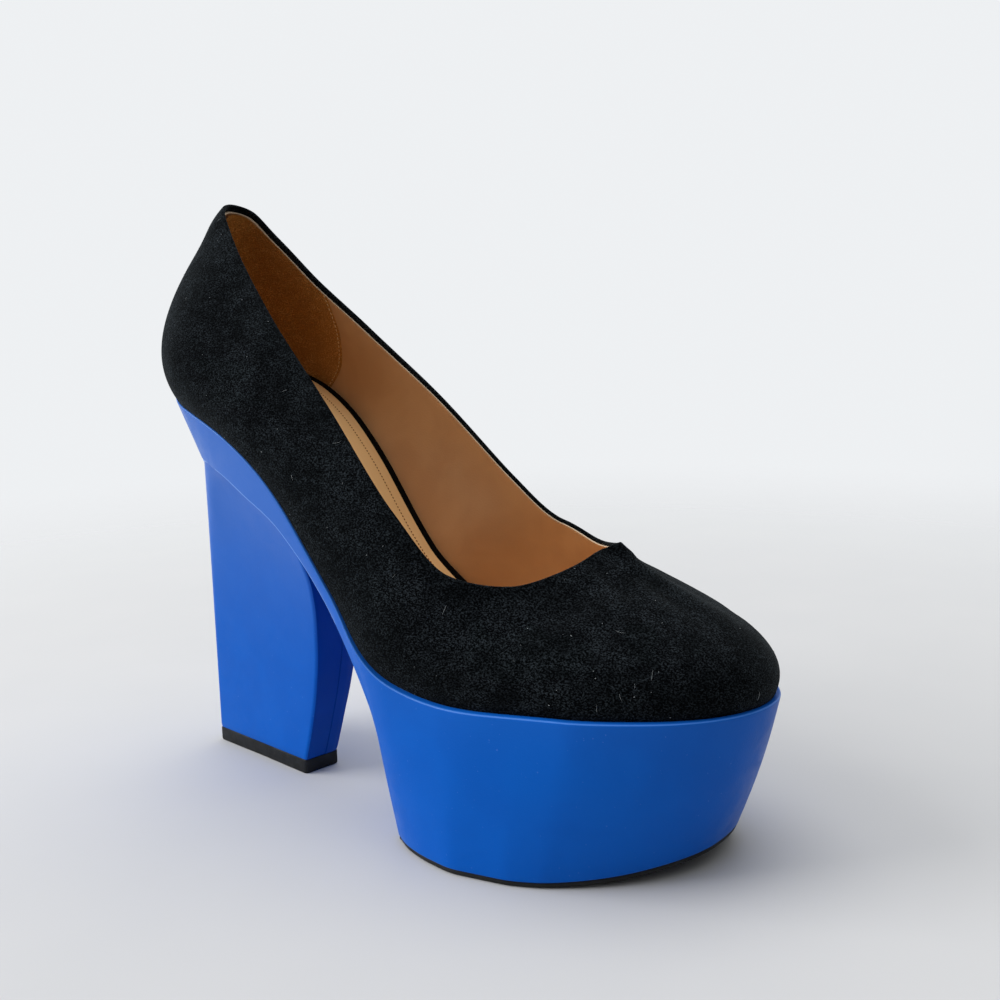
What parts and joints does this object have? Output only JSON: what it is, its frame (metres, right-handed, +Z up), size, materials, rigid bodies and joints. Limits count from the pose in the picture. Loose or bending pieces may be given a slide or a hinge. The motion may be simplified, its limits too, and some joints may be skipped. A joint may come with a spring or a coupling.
{
  "type": "platform court shoe",
  "caption": "Right-foot court shoe: suede upper on a thick covered platform with a deep squared heel; stands by itself.",
  "frame": {"origin": "on the floor, under the middle of the shoe's box", "axes": "+Z up, toe towards -Y and heel towards +Y, inner side of the foot towards +X"},
  "size_m": [0.0924, 0.2196, 0.1955],
  "materials": {
    "upper_suede": "black suede nap, leather lined",
    "insole_leather": "smooth tan leather sock",
    "platform_leather": "satin blue leather covering",
    "heel_leather": "satin blue leather covering",
    "lift_rubber": "matte black",
    "sole_rubber": "matte black"
  },
  "bodies": {
    "root": {"upper": "upper_suede", "insole": "insole_leather", "platform": "platform_leather", "heel_block": "heel_leather", "heel_top_lift": "lift_rubber", "outsole": "sole_rubber"}
  },
  "joints": []
}
